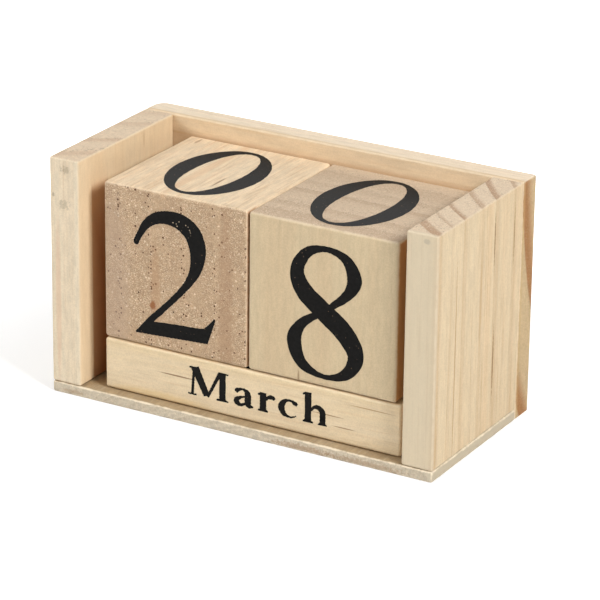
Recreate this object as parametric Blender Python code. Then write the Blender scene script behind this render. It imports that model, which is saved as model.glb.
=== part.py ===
"""Perpetual desk calendar in plain wood.

An open tray of four glued boards holds three square month bars, laid one behind
another, and two number cubes that stand side by side on the bars. The tray is
sized round the pieces it holds, so every board follows the bars and the cubes.

Axes: +X to the right, +Y to the back, +Z up, in metres. The origin is the middle
of the footprint, on the surface that the calendar stands on.
"""

import math

import bmesh
import bpy
from mathutils import Vector

# Month bars, named from the back of the tray to the front
BAR_NAMES = ("month_bar_rear", "month_bar_middle", "month_bar_front")
BAR_SIDE = 0.0118
BAR_GAP = 0.0003
BAR_EDGE = 0.0007

# Number cubes, named from left to right, each as deep as the row of bars under it
CUBE_NAMES = ("day_cube_tens", "day_cube_units")
CUBE_SIDE = len(BAR_NAMES) * BAR_SIDE + (len(BAR_NAMES) - 1) * BAR_GAP
CUBE_GAP = 0.0004
CUBE_EDGE = 0.0007

# Boards of the tray
SIDE_THICKNESS = 0.0074
BACK_THICKNESS = 0.0060
BASE_THICKNESS = 0.0024
BOARD_EDGE = 0.0005
SANDED_CORNER = 0.0028
GLUE_GAP = 0.0003

# Room that the loose pieces have in the tray
LEFT_PLAY = 0.0048
CUBE_RIGHT_PLAY = 0.0030
BAR_RIGHT_PLAY = 0.0016
REAR_GAP = 0.0003
REST_GAP = 0.0003
FRONT_RECESS = 0.0027
TOP_REVEAL = 0.0042

# How finely the rounded edges and the sanded corner are divided
EDGE_SEGMENTS = 3
CORNER_SEGMENTS = 6
EDGE_ANGLE = math.radians(30)

# Width of the tray between its side boards, and its overall size
CUBES_WIDTH = len(CUBE_NAMES) * CUBE_SIDE + (len(CUBE_NAMES) - 1) * CUBE_GAP
INNER_WIDTH = LEFT_PLAY + CUBES_WIDTH + CUBE_RIGHT_PLAY
INNER_DEPTH = FRONT_RECESS + CUBE_SIDE + REAR_GAP
WIDTH = INNER_WIDTH + 2 * SIDE_THICKNESS
DEPTH = INNER_DEPTH + BACK_THICKNESS

# Heights at which the loose pieces rest, and the top of the tray
BAR_BOTTOM = BASE_THICKNESS + REST_GAP
CUBE_BOTTOM = BAR_BOTTOM + BAR_SIDE + REST_GAP
HEIGHT = CUBE_BOTTOM + CUBE_SIDE + TOP_REVEAL

# Planes that the pieces are set out from
FRONT = -DEPTH / 2
BACK_BOARD_FACE = DEPTH / 2 - BACK_THICKNESS
INNER_LEFT = -INNER_WIDTH / 2
LOOSE_LEFT = INNER_LEFT + LEFT_PLAY
LOOSE_BACK = BACK_BOARD_FACE - REAR_GAP

# Finishes: linear colour, roughness
BACK_BOARD_FINISH = ((0.70, 0.55, 0.37), 0.62)
SIDE_BOARD_FINISH = ((0.69, 0.58, 0.43), 0.64)
BASE_BOARD_FINISH = ((0.60, 0.51, 0.39), 0.68)
CUBE_FINISHES = (((0.56, 0.41, 0.29), 0.66), ((0.68, 0.54, 0.36), 0.60))
BAR_FINISH = ((0.76, 0.61, 0.40), 0.60)


def clear_scene():
    """Remove whatever the new file opened with."""
    for scene_object in list(bpy.data.objects):
        bpy.data.objects.remove(scene_object, do_unlink=True)


def wood(name, finish):
    """Bare wood: a colour and a roughness, with no metal in it."""
    colour, roughness = finish
    material = bpy.data.materials.new(name + "_wood")
    material.use_nodes = True
    shader = material.node_tree.nodes["Principled BSDF"]
    shader.inputs["Base Color"].default_value = (*colour, 1)
    shader.inputs["Roughness"].default_value = roughness
    shader.inputs["Metallic"].default_value = 0
    return material


def block_mesh(name, size):
    """A plain block of the given size, centred on its own origin."""
    shape = bmesh.new()
    bmesh.ops.create_cube(shape, size=1)
    bmesh.ops.scale(shape, verts=shape.verts, vec=size)
    mesh = bpy.data.meshes.new(name)
    shape.to_mesh(mesh)
    shape.free()
    return mesh


def round_corner(mesh, radius):
    """Sand the block's rear left corner round: the upright edge, over its full height."""
    shape = bmesh.new()
    shape.from_mesh(mesh)
    corner = [
        edge for edge in shape.edges if all(v.co.x < 0 < v.co.y for v in edge.verts)
    ]
    bmesh.ops.bevel(
        shape,
        geom=corner,
        offset=radius,
        offset_type="OFFSET",
        segments=CORNER_SEGMENTS,
        profile=0.5,
        affect="EDGES",
    )
    shape.to_mesh(mesh)
    shape.free()


def place(name, mesh, centre, edge, finish, parent):
    """Put a block in the scene with eased edges, its origin at its own middle.

    The centre is given in the tray's frame; the location is counted from the parent.
    """
    mesh.materials.append(wood(name, finish))
    mesh.shade_smooth()
    piece = bpy.data.objects.new(name, mesh)
    bpy.context.scene.collection.objects.link(piece)
    piece.parent = parent
    piece.location = centre - centre_of(parent)
    rounding = piece.modifiers.new("eased edges", "BEVEL")
    rounding.width = edge
    rounding.segments = EDGE_SEGMENTS
    rounding.limit_method = "ANGLE"
    rounding.angle_limit = EDGE_ANGLE
    rounding.harden_normals = True
    return piece


def centre_of(thing):
    """Where an object's origin lies in the tray's frame, through all its parents."""
    centre = Vector((0, 0, 0))
    while thing is not None:
        centre += thing.location
        thing = thing.parent
    return centre


def build_tray():
    """The four glued boards: a back over the full width, a base and two sides in front of it."""
    tray = bpy.data.objects.new("tray", None)
    bpy.context.scene.collection.objects.link(tray)

    back_size = Vector((WIDTH, BACK_THICKNESS, HEIGHT))
    back_mesh = block_mesh("back_board", back_size)
    round_corner(back_mesh, SANDED_CORNER)
    back_centre = Vector((0, BACK_BOARD_FACE + BACK_THICKNESS / 2, HEIGHT / 2))
    place("back_board", back_mesh, back_centre, BOARD_EDGE, BACK_BOARD_FINISH, tray)

    board_back = BACK_BOARD_FACE - GLUE_GAP
    board_depth = board_back - FRONT
    board_middle = (board_back + FRONT) / 2
    base_size = Vector((WIDTH, board_depth, BASE_THICKNESS))
    base_mesh = block_mesh("base_board", base_size)
    base_centre = Vector((0, board_middle, BASE_THICKNESS / 2))
    place("base_board", base_mesh, base_centre, BOARD_EDGE, BASE_BOARD_FINISH, tray)

    side_bottom = BASE_THICKNESS + GLUE_GAP
    side_size = Vector((SIDE_THICKNESS, board_depth, HEIGHT - side_bottom))
    side_height = (HEIGHT + side_bottom) / 2
    side_offset = (INNER_WIDTH + SIDE_THICKNESS) / 2
    for name, across in (("left_side_board", -side_offset), ("right_side_board", side_offset)):
        side_mesh = block_mesh(name, side_size)
        side_centre = Vector((across, board_middle, side_height))
        place(name, side_mesh, side_centre, BOARD_EDGE, SIDE_BOARD_FINISH, tray)
    return tray


def build_bars(tray):
    """The month bars from back to front. Each carries the one before it, which it pushes out."""
    bar_length = INNER_WIDTH - LEFT_PLAY - BAR_RIGHT_PLAY
    bar_size = Vector((bar_length, BAR_SIDE, BAR_SIDE))
    carrier = tray
    for row, name in enumerate(BAR_NAMES):
        depth = LOOSE_BACK - BAR_SIDE / 2 - row * (BAR_SIDE + BAR_GAP)
        centre = Vector((LOOSE_LEFT + bar_length / 2, depth, BAR_BOTTOM + BAR_SIDE / 2))
        carrier = place(name, block_mesh(name, bar_size), centre, BAR_EDGE, BAR_FINISH, carrier)


def build_cubes(tray):
    """The two number cubes, side by side on the bars and pushed to the left of their room."""
    cube_size = Vector((CUBE_SIDE, CUBE_SIDE, CUBE_SIDE))
    half = CUBE_SIDE / 2
    for column, name in enumerate(CUBE_NAMES):
        across = LOOSE_LEFT + half + column * (CUBE_SIDE + CUBE_GAP)
        centre = Vector((across, LOOSE_BACK - half, CUBE_BOTTOM + half))
        place(name, block_mesh(name, cube_size), centre, CUBE_EDGE, CUBE_FINISHES[column], tray)


def main():
    """Build the whole calendar at rest."""
    clear_scene()
    tray = build_tray()
    build_bars(tray)
    build_cubes(tray)
    bpy.context.view_layer.update()


main()
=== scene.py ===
"""Dressed scene of the perpetual desk calendar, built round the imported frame.

Four glued boards, three month bars and two number cubes of bare wood stand for the CAD
nodes. Black numbers and month names ride on the loose pieces. A white floor, soft light
and the photograph's camera complete it. Lengths are in metres unless a name says mm.
"""

import logging
import math
from dataclasses import dataclass
from enum import Enum

import bpy
import numpy as np
from mathutils import Euler, Matrix, Vector
from mathutils.geometry import delaunay_2d_cdt


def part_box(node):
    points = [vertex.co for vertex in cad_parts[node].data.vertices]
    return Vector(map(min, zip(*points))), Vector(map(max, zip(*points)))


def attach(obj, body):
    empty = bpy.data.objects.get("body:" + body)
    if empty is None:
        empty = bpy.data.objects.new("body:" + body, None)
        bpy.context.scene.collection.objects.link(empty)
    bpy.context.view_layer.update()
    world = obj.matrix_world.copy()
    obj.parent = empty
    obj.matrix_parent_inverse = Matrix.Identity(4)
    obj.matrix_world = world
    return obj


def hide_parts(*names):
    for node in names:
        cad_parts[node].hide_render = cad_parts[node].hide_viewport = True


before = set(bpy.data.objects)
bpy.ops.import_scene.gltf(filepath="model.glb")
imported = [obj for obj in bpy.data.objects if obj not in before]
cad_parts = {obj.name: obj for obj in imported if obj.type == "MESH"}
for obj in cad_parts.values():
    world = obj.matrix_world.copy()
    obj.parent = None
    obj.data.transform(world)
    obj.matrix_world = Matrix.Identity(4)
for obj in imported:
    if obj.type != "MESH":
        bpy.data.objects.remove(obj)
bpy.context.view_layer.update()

logging.basicConfig(level=logging.INFO, format="%(message)s")
LOG = logging.getLogger("desk_calendar")

MM = 0.001

Triple = tuple[float, float, float]
Knot = tuple[float, float, float]
Socket = bpy.types.NodeSocket
Colour = tuple[int, int, int]
Sheet = tuple[np.ndarray, np.ndarray]


class Axis(Enum):
    """The direction that the fibre of a piece of wood runs in."""

    X = 0
    Y = 1
    Z = 2

    def turn(self) -> Triple:
        """Euler angles that bring this direction onto Z, where the log's axis lies."""
        quarter = math.pi / 2
        return {Axis.X: (0.0, -quarter, 0.0), Axis.Y: (quarter, 0.0, 0.0), Axis.Z: (0.0, 0.0, 0.0)}[self]


class Side(Enum):
    """A side of a cube or bar: its outward normal, and where up is for what is printed on it."""

    FRONT = ((0, -1, 0), (0, 0, 1))
    TOP = ((0, 0, 1), (0, 1, 0))
    BACK = ((0, 1, 0), (0, 0, -1))
    UNDER = ((0, 0, -1), (0, -1, 0))
    LEFT = ((-1, 0, 0), (0, 0, 1))
    RIGHT = ((1, 0, 0), (0, 0, 1))


def linear(red: int, green: int, blue: int) -> tuple[float, float, float, float]:
    """A screen colour of 0 to 255 a channel as the linear colour that shaders use.

    Args:
        red: Screen value of the red channel.
        green: Screen value of the green channel.
        blue: Screen value of the blue channel.

    Returns:
        Linear red, green and blue, and an alpha of 1.
    """
    share = np.array((red, green, blue)) / 255
    curve = np.where(share <= 0.04045, share / 12.92, ((share + 0.055) / 1.055) ** 2.4)
    return (*curve.tolist(), 1.0)


# Shader nodes


class Graph:
    """Adds nodes to one node tree and links them, so that a finish reads like a sum."""

    def __init__(self, tree: bpy.types.NodeTree) -> None:
        """Keep the tree that the nodes go into."""
        self.tree = tree

    def feed(self, socket: Socket, value: object) -> None:
        """Link an output to a socket, or give the socket its own value."""
        if isinstance(value, Socket):
            self.tree.links.new(value, socket)
        else:
            socket.default_value = value

    def add(self, kind: str, inputs: dict | None = None, **settings: object) -> bpy.types.Node:
        """Add a node.

        Args:
            kind: Blender's name for the type of node.
            inputs: Values or outputs for its sockets, by name or by number.
            settings: Properties of the node itself.

        Returns:
            The new node.
        """
        node = self.tree.nodes.new(kind)
        for name, setting in settings.items():
            setattr(node, name, setting)
        for key, value in (inputs or {}).items():
            self.feed(node.inputs[key], value)
        return node

    def math(self, operation: str, first: object, second: object = 0.0) -> Socket:
        """One sum of two values, by the name of Blender's operation."""
        return self.add("ShaderNodeMath", {0: first, 1: second}, operation=operation).outputs[0]

    def times(self, first: object, second: object) -> Socket:
        """The product of two values."""
        return self.math("MULTIPLY", first, second)

    def plus(self, first: object, second: object) -> Socket:
        """The sum of two values."""
        return self.math("ADD", first, second)

    def ramp(
        self, value: object, start: float, end: float, low: float = 0.0, high: float = 1.0,
    ) -> Socket:
        """A smooth step: low where the value is below start, high where it is above end."""
        inputs = {0: value, 1: start, 2: end, 3: low, 4: high}
        return self.add("ShaderNodeMapRange", inputs, interpolation_type="SMOOTHSTEP").outputs[0]

    def vector(self, operation: str, first: object, second: object = (0.0, 0.0, 0.0)) -> object:
        """The outputs of one sum of vectors, by the name of Blender's operation."""
        inputs = {0: first, 1: second}
        return self.add("ShaderNodeVectorMath", inputs, operation=operation).outputs

    def stretch(self, vector: object, factors: object) -> Socket:
        """A vector with each part multiplied by its own factor."""
        return self.vector("MULTIPLY", vector, factors)[0]

    def noise(self, vector: object, scale: float, detail: float = 2.0, rough: float = 0.5) -> Socket:
        """Soft noise between 0 and 1 over a vector."""
        inputs = {"Vector": vector, "Scale": scale, "Detail": detail, "Roughness": rough}
        return self.add("ShaderNodeTexNoise", inputs).outputs[0]

    def mix(self, share: object, first: object, second: object, blend: str = "MIX") -> Socket:
        """Two colours mixed by a share, in one of Blender's blend modes."""
        node = self.add("ShaderNodeMix", data_type="RGBA", blend_type=blend, clamp_factor=True)
        for number, value in ((0, share), (6, first), (7, second)):
            self.feed(node.inputs[number], value)
        return node.outputs[2]


class Effect:
    """A shader node group that several finishes share. A subclass says what it works out."""

    name = "effect"
    inputs: dict[str, float | Triple] = {}
    outputs: tuple[str, ...] = ()

    def __init__(self) -> None:
        """Make the group with its named sockets and wire up what is inside."""
        self.tree = bpy.data.node_groups.new(self.name, "ShaderNodeTree")
        for label, value in self.inputs.items():
            kind = "NodeSocketVector" if isinstance(value, tuple) else "NodeSocketFloat"
            socket = self.tree.interface.new_socket(name=label, in_out="INPUT", socket_type=kind)
            socket.default_value = value
        for label in self.outputs:
            self.tree.interface.new_socket(name=label, in_out="OUTPUT", socket_type="NodeSocketFloat")
        graph = Graph(self.tree)
        given = graph.add("NodeGroupInput").outputs
        end = graph.add("NodeGroupOutput")
        for label, value in self.wire(graph, given).items():
            graph.feed(end.inputs[label], value)

    def wire(self, graph: Graph, given: object) -> dict[str, object]:
        """Work the outputs out from the group's inputs; each subclass has its own."""
        raise NotImplementedError

    def use(self, graph: Graph, inputs: dict[str, object]) -> object:
        """Place the group in a material and return its outputs."""
        node = graph.add("ShaderNodeGroup", node_tree=self.tree)
        for label, value in inputs.items():
            graph.feed(node.inputs[label], value)
        return node.outputs


class GrowthRings(Effect):
    """Yearly rings round the log's axis, which is the Z axis of the vector, in mm.

    The distance from the axis is bent by a slow noise drawn out along the fibre and then
    counted in ring widths. Within each ring the latewood deepens slowly, stays, and ends
    sharply on the side away from the axis. Some rings are fainter than others.
    """

    name = "growth rings"
    inputs = {
        "Vector": (0.0, 0.0, 0.0), "Ring Width": 2.0, "Waviness": 1.0, "Unevenness": 1.0,
        "Late Start": 0.45, "Faintest": 0.35,
    }
    outputs = ("Latewood", "Count")

    def wire(self, graph: Graph, given: object) -> dict[str, object]:
        """See the class."""
        slow = graph.noise(graph.stretch(given["Vector"], (0.06, 0.06, 0.010)), 1.0, 2.0)
        quick = graph.noise(graph.stretch(given["Vector"], (0.5, 0.5, 0.04)), 1.0, 2.0)
        bend = graph.plus(graph.math("SUBTRACT", slow, 0.5), graph.times(quick, 0.12))
        bend = graph.times(bend, given["Waviness"])
        across = graph.stretch(given["Vector"], (1.0, 1.0, 0.0))
        length = graph.vector("LENGTH", across)["Value"]
        count = graph.math("DIVIDE", graph.plus(length, bend), given["Ring Width"])
        uneven = graph.add("ShaderNodeTexNoise", {"W": count, "Scale": 0.7}, noise_dimensions="1D")
        uneven = graph.math("SUBTRACT", uneven.outputs[0], 0.5)
        count = graph.plus(count, graph.times(uneven, given["Unevenness"]))
        year = graph.math("FLOOR", count)
        share = graph.math("FRACT", count)
        late = graph.math("SUBTRACT", share, given["Late Start"])
        late = graph.math("DIVIDE", late, graph.math("SUBTRACT", 0.93, given["Late Start"]))
        late = graph.times(graph.ramp(late, 0.0, 0.75), graph.ramp(share, 0.93, 0.99, 1.0, 0.0))
        draw = graph.add("ShaderNodeTexWhiteNoise", {"W": year}, noise_dimensions="1D").outputs[0]
        faint = graph.times(graph.math("SUBTRACT", 1.0, given["Faintest"]), draw)
        return {"Latewood": graph.times(late, graph.plus(faint, given["Faintest"])), "Count": count}


class Fibres(Effect):
    """Fine fibres, thin lines, broader streaks, a slow drift and a mottle, drawn out along Z."""

    name = "fibres"
    inputs = {"Vector": (0.0, 0.0, 0.0), "Drawn Out": 30.0}
    outputs = ("Fine", "Lines", "Streaks", "Drift", "Mottle")

    def wire(self, graph: Graph, given: object) -> dict[str, object]:
        """See the class."""
        short = graph.math("DIVIDE", 1.0, given["Drawn Out"])
        factors = graph.add("ShaderNodeCombineXYZ", {0: 1.0, 1: 1.0, 2: short}).outputs[0]
        drawn = graph.stretch(given["Vector"], factors)
        soft = graph.stretch(given["Vector"], (0.9, 0.9, 0.22))
        return {
            "Fine": graph.noise(drawn, 2.8, 3.0, 0.7),
            "Lines": graph.noise(graph.stretch(drawn, (1.0, 1.0, 0.6)), 1.25, 4.0, 0.72),
            "Streaks": graph.noise(drawn, 0.62, 3.0, 0.55), "Drift": graph.noise(drawn, 0.13, 2.0, 0.5),
            "Mottle": graph.noise(soft, 1.0, 4.0, 0.65),
        }


class Pores(Effect):
    """Dark pores, which run on along Z, and pale flecks: cells, some of them filled.

    Rows is a number that runs across the wood, such as the count of its rings: the pores
    crowd in rows where it is near a whole number.
    """

    name = "pores"
    inputs = {"Vector": (0.0, 0.0, 0.0), "Rows": 0.0, "Cell": 0.6, "Drawn Out": 6.0, "Share": 0.3}
    outputs = ("Pores", "Flecks")

    def wire(self, graph: Graph, given: object) -> dict[str, object]:
        """See the class."""
        across = graph.math("DIVIDE", 1.0, given["Cell"])
        along = graph.math("DIVIDE", across, given["Drawn Out"])
        factors = graph.add("ShaderNodeCombineXYZ", {0: across, 1: across, 2: along}).outputs[0]
        cells = graph.stretch(given["Vector"], factors)
        inputs = {"Vector": cells, "Scale": 1.0}
        cell = graph.add("ShaderNodeTexVoronoi", inputs)
        draw = graph.add("ShaderNodeSeparateColor", {0: cell.outputs["Color"]}).outputs
        pipe = graph.add("ShaderNodeTexVoronoi", inputs, voronoi_dimensions="2D")
        pipe_draw = graph.add("ShaderNodeSeparateColor", {0: pipe.outputs["Color"]}).outputs
        patch = graph.noise(graph.stretch(given["Vector"], (0.30, 0.30, 0.05)), 1.0, 2.0)
        share = graph.math("SUBTRACT", graph.math("FRACT", given["Rows"]), 0.5)
        row = graph.ramp(graph.math("ABSOLUTE", share), 0.40, 0.48, 0.25, 3.0)
        limit = graph.times(graph.times(given["Share"], graph.ramp(patch, 0.3, 0.7)), row)
        dark = graph.math("LESS_THAN", pipe_draw[0], limit)
        pale = graph.math("LESS_THAN", draw[1], graph.times(given["Share"], 0.5))
        size = graph.plus(0.26, graph.times(draw[2], 0.18))
        near = graph.ramp(graph.math("SUBTRACT", size, cell.outputs["Distance"]), 0.0, 0.08)
        width = graph.plus(0.24, graph.times(pipe_draw[2], 0.22))
        inside = graph.ramp(graph.math("SUBTRACT", width, pipe.outputs["Distance"]), 0.0, 0.08)
        return {"Pores": graph.times(dark, inside), "Flecks": graph.times(pale, near)}


class EdgeWearAndHighlight(Effect):
    """Where an eased edge turns pale from rubbing and from a painted highlight, broken up by noise, and
    the dust beside it.
    """

    name = "edge wear"
    inputs = {"Vector": (0.0, 0.0, 0.0), "Edge": 0.0}
    outputs = ("Rubbed", "Dust")

    def wire(self, graph: Graph, given: object) -> dict[str, object]:
        """See the class."""
        patch = graph.noise(given["Vector"], 0.55, 3.0, 0.6)
        rubbed = graph.ramp(graph.plus(given["Edge"], graph.times(patch, 1.1)), 1.15, 1.65)
        dust = graph.times(graph.noise(given["Vector"], 0.16, 4.0, 0.6), given["Edge"])
        return {"Rubbed": rubbed, "Dust": dust}


class Spot(Effect):
    """One soft mark with a ragged rim, given by its middle and radii.

    It is 1 up to the share Core of the radii and fades to 0 at the full radii. Square turns
    the ellipsoid into a box.
    """

    name = "spot"
    inputs = {
        "Vector": (0.0, 0.0, 0.0), "Middle": (0.0, 0.0, 0.0), "Radii": (1.0, 1.0, 1.0), "Ragged": 0.5,
        "Core": 0.45, "Square": 0.0,
    }
    outputs = ("Spot",)

    def wire(self, graph: Graph, given: object) -> dict[str, object]:
        """See the class."""
        rim = graph.math("SUBTRACT", graph.noise(given["Vector"], 1.6, 3.0, 0.6), 0.5)
        away = graph.vector("SUBTRACT", given["Vector"], given["Middle"])[0]
        away = graph.vector("DIVIDE", away, given["Radii"])[0]
        round_reach = graph.vector("LENGTH", away)["Value"]
        parts = graph.vector("ABSOLUTE", away)[0]
        parts = graph.add("ShaderNodeSeparateXYZ", {0: parts}).outputs
        reach = graph.math("MAXIMUM", graph.math("MAXIMUM", parts[0], parts[1]), parts[2])
        reach = graph.math("SUBTRACT", reach, round_reach)
        reach = graph.plus(round_reach, graph.times(reach, given["Square"]))
        reach = graph.plus(reach, graph.times(rim, given["Ragged"]))
        return {"Spot": graph.ramp(reach, given["Core"], 1.03, 1.0, 0.0)}


@dataclass(frozen=True)
class Effects:
    """The node groups, built once."""

    rings: GrowthRings
    fibres: Fibres
    pores: Pores
    wear_and_highlight: EdgeWearAndHighlight
    spot: Spot


# Finishes


def matt_material(name: str, ior: float, specular: float) -> tuple[
    bpy.types.Material, Graph, dict, Socket,
]:
    """Start a material without metal.

    Args:
        name: Its name.
        ior: Index of refraction.
        specular: Level of its gloss.

    Returns:
        The material, its graph, its shader's sockets and the place on the piece in mm.
    """
    material = bpy.data.materials.new(name)
    material.use_nodes = True
    graph = Graph(material.node_tree)
    sockets = material.node_tree.nodes["Principled BSDF"].inputs
    sockets["Metallic"].default_value = 0.0
    sockets["IOR"].default_value = ior
    sockets["Specular IOR Level"].default_value = specular
    spot = graph.add("ShaderNodeTexCoord").outputs["Object"]
    return material, graph, sockets, graph.stretch(spot, (1 / MM, 1 / MM, 1 / MM))


@dataclass(frozen=True)
class Mark:
    """A stain, crack, resin streak or patch of painted shade: its middle and radii in mm, its colour and
    strength.

    Ragged is how uneven its rim is, core the share of the radii up to which it is full.
    A square mark fills a box, any other an ellipsoid.
    """

    middle: Triple
    radii: Triple
    colour: Colour = (120, 78, 42)
    strength: float = 0.6
    ragged: float = 0.6
    core: float = 0.45
    square: float = 0.0


def band(middle: Triple, radii: Triple, colour: Colour, strength: float, core: float) -> Mark:
    """A square mark with an even rim, such as painted shade in a gap."""
    return Mark(middle, radii, colour, strength, 0.0, core, 1.0)


@dataclass(frozen=True)
class WoodFinish:
    """Bare sanded wood, coloured through and through so that grain meets at every edge.

    The log's axis runs along the fibre through the point pith, in mm. Colours are screen
    colours of the clean wood, of its latewood and of a warmer tint that drifts over it,
    along the fibre and on cut ends.
    """

    name: str
    fibre: Axis
    pith: Triple
    long_colour: Colour = (226, 204, 168)
    long_late: Colour = (205, 172, 125)
    long_tint: Colour = (224, 192, 156)
    end_colour: Colour = (212, 186, 152)
    end_late: Colour = (176, 136, 98)
    end_pale: Colour = (238, 222, 194)
    ring_width: float = 3.0
    waviness: float = 1.2
    unevenness: float = 1.0
    late_start: float = 0.45
    faintest: float = 0.35
    long_rings: float = 0.5
    end_rings: float = 0.6
    streaks: float = 0.25
    lines: float = 0.5
    fine: float = 0.3
    tint: float = 0.4
    mottle: float = 0.07
    speckle: float = 0.045
    grit: float = 0.5
    pores: float = 0.3
    pore_share: float = 0.3
    pore_cell: float = 0.6
    flecks: float = 0.3
    # Share of the pale edge colour: rubbing, and a painted highlight
    rubbed: float = 0.28
    tilt: Triple = (0.0, 0.0, 0.0)
    roughness: float = 0.60
    marks: tuple[Mark, ...] = ()

    def log_vector(self, graph: Graph, place: object) -> Socket:
        """The place in the log, in mm: turned so that the fibre is Z, with the pith at 0."""
        turn = Euler([a + b for a, b in zip(self.fibre.turn(), self.tilt)], "XYZ")
        pith = turn.to_matrix() @ Vector(self.pith)
        inputs = {"Vector": place, "Rotation": turn, "Location": tuple(-pith)}
        return graph.add("ShaderNodeMapping", inputs).outputs[0]

    def material(self, effects: Effects) -> bpy.types.Material:
        """Build the material.

        Args:
            effects: The shared node groups.

        Returns:
            Wood whose grain follows Object coordinates, with the attribute end_grain deciding where cut
            ends lie and a second attribute, for nearness to an edge, deciding where edges turn pale from
            rubbing and carry a painted highlight.
        """
        material, graph, sockets, place = matt_material(self.name, 1.35, 0.4)
        late, pale = linear(*self.long_late), linear(*self.end_pale)
        log = self.log_vector(graph, place)
        end = graph.add("ShaderNodeAttribute", attribute_name="end_grain").outputs["Fac"]
        edge = graph.add("ShaderNodeAttribute", attribute_name="edge_wear").outputs["Fac"]
        end = graph.ramp(end, 0.25, 0.85)

        rings = effects.rings.use(
            graph,
            {
                "Vector": log, "Ring Width": self.ring_width, "Waviness": self.waviness,
                "Unevenness": self.unevenness, "Late Start": self.late_start, "Faintest": self.faintest,
            },
        )
        fibres = effects.fibres.use(graph, {"Vector": log, "Drawn Out": 34.0})
        pores = effects.pores.use(
            graph,
            {"Vector": log, "Rows": rings["Count"], "Cell": self.pore_cell, "Share": self.pore_share},
        )
        wear_and_highlight = effects.wear_and_highlight.use(graph, {"Vector": place, "Edge": edge})
        tinted = graph.times(graph.ramp(fibres["Drift"], 0.42, 0.66), self.tint)

        # Along the fibre: latewood, streaks, crisp thin lines and fine fibres over the tint
        along = graph.mix(tinted, linear(*self.long_colour), linear(*self.long_tint))
        long_share = graph.times(rings["Latewood"], self.long_rings)
        along = graph.mix(long_share, along, late)
        streak = graph.times(graph.ramp(fibres["Streaks"], 0.50, 0.72), self.streaks)
        along = graph.mix(streak, along, late)
        thin = graph.times(graph.ramp(fibres["Lines"], 0.56, 0.68), self.lines)
        along = graph.mix(thin, along, late)
        dark = graph.times(graph.ramp(fibres["Fine"], 0.52, 0.70), self.fine)
        along = graph.mix(dark, along, late)
        fair = graph.times(graph.ramp(fibres["Fine"], 0.47, 0.30), self.fine * 0.8)
        along = graph.mix(fair, along, pale)

        # Across the fibre: the same rings as bands, with grit, pores and pale flecks
        grit = graph.noise(graph.stretch(log, (1.0, 1.0, 0.3)), 3.5, 4.0, 0.85)
        end_share = graph.times(rings["Latewood"], self.end_rings)
        across = graph.mix(end_share, linear(*self.end_colour), linear(*self.end_late))
        zone = graph.ramp(fibres["Drift"], 0.36, 0.60, 0.4, 1.0)
        dark_grit = graph.times(graph.times(graph.ramp(grit, 0.48, 0.38), zone), self.grit * 0.8)
        across = graph.mix(dark_grit, across, linear(*self.end_late))
        pale_grit = graph.times(graph.times(graph.ramp(grit, 0.53, 0.63), zone), self.grit)
        across = graph.mix(pale_grit, across, pale)
        pore_share = graph.times(pores["Pores"], self.pores)
        across = graph.mix(pore_share, across, linear(86, 52, 30))
        fleck_share = graph.times(pores["Flecks"], self.flecks)
        across = graph.mix(fleck_share, across, pale)

        colour = graph.mix(end, along, across)
        tone = graph.ramp(fibres["Mottle"], 0.28, 0.72, 1.0 - self.mottle, 1.0 + self.mottle)
        speck = graph.noise(place, 3.4, 2.0, 0.6)
        speck = graph.ramp(speck, 0.35, 0.65, 1.0 - self.speckle, 1.0 + self.speckle)
        tone = graph.times(tone, speck)
        tone = graph.add("ShaderNodeCombineColor", {0: tone, 1: tone, 2: tone}).outputs[0]
        colour = graph.mix(1.0, colour, tone, "MULTIPLY")
        for mark in self.marks:
            inputs = {
                "Vector": place, "Middle": mark.middle, "Radii": mark.radii, "Ragged": mark.ragged,
                "Core": mark.core, "Square": mark.square,
            }
            share = effects.spot.use(graph, inputs)["Spot"]
            colour = graph.mix(graph.times(share, mark.strength), colour, linear(*mark.colour))
        # Eased edges turned pale, partly from rubbing and partly as a painted highlight
        colour = graph.mix(graph.times(wear_and_highlight["Rubbed"], self.rubbed), colour, linear(244, 230, 204))
        colour = graph.mix(graph.times(wear_and_highlight["Dust"], 0.10), colour, linear(150, 116, 84))
        graph.feed(sockets["Base Color"], colour)

        rough = graph.plus(self.roughness, graph.times(rings["Latewood"], -0.06))
        rough = graph.plus(rough, graph.times(end, 0.08))
        rough = graph.plus(rough, graph.times(fibres["Fine"], 0.06))
        graph.feed(sockets["Roughness"], rough)

        height = graph.times(fibres["Fine"], graph.math("SUBTRACT", 1.0, end))
        height = graph.plus(height, graph.times(rings["Latewood"], 0.35))
        height = graph.plus(height, graph.times(graph.times(grit, end), 1.3))
        height = graph.math("SUBTRACT", height, graph.times(graph.times(pores["Pores"], end), 1.2))
        bump = graph.add("ShaderNodeBump", {"Height": height, "Strength": 0.5, "Distance": 0.00009})
        graph.feed(sockets["Normal"], bump.outputs[0])
        return material


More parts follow.
